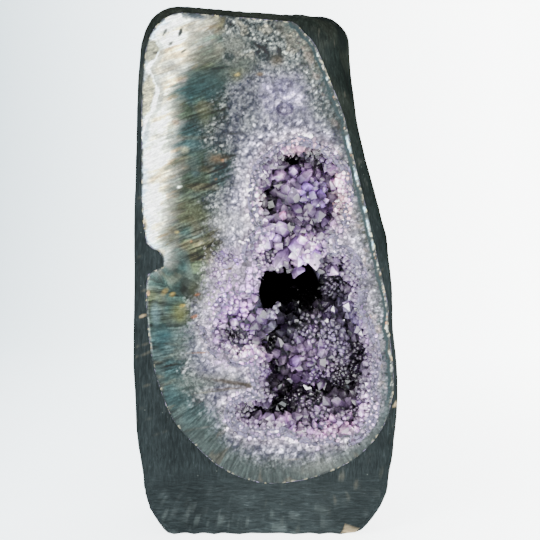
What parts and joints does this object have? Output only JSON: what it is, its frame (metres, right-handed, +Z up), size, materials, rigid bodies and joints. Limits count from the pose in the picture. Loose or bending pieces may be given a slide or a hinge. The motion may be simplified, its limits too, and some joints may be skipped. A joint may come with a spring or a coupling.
{
  "type": "amethyst geode",
  "caption": "Free-standing cut geode: a painted cement coat holds banded quartz rock with a polished face and pockets lined with purple crystals.",
  "frame": {"origin": "centre of the bounding box in X and Y, on the flat base plane", "axes": "+Z up along the height, the polished face with the crystal pockets looks towards -Y, +X to the right as seen from the front"},
  "size_m": [0.1688, 0.1482, 0.34],
  "materials": {
    "cement": "matte, painted",
    "quartz": "polished",
    "amethyst": "glossy crystal facets",
    "pale_amethyst": "glossy crystal facets"
  },
  "bodies": {
    "root": {"painted_cement_coat": "cement", "quartz_rock": "quartz", "pocket_wall_druse": "amethyst", "central_mound_druse": "amethyst", "lower_ledge_druse": "amethyst", "upper_mound_druse": "amethyst", "bridge_crystal_01": "pale_amethyst", "bridge_crystal_02": "pale_amethyst", "bridge_crystal_03": "pale_amethyst", "bridge_crystal_04": "pale_amethyst", "bridge_crystal_05": "pale_amethyst", "bridge_crystal_06": "pale_amethyst", "bridge_crystal_07": "pale_amethyst", "bridge_crystal_08": "pale_amethyst", "rim_crystal_01": "pale_amethyst", "rim_crystal_02": "pale_amethyst", "rim_crystal_03": "pale_amethyst", "rim_crystal_04": "pale_amethyst", "rim_crystal_05": "pale_amethyst", "rim_crystal_06": "pale_amethyst", "rim_crystal_07": "pale_amethyst", "rim_crystal_08": "pale_amethyst"}
  },
  "joints": []
}
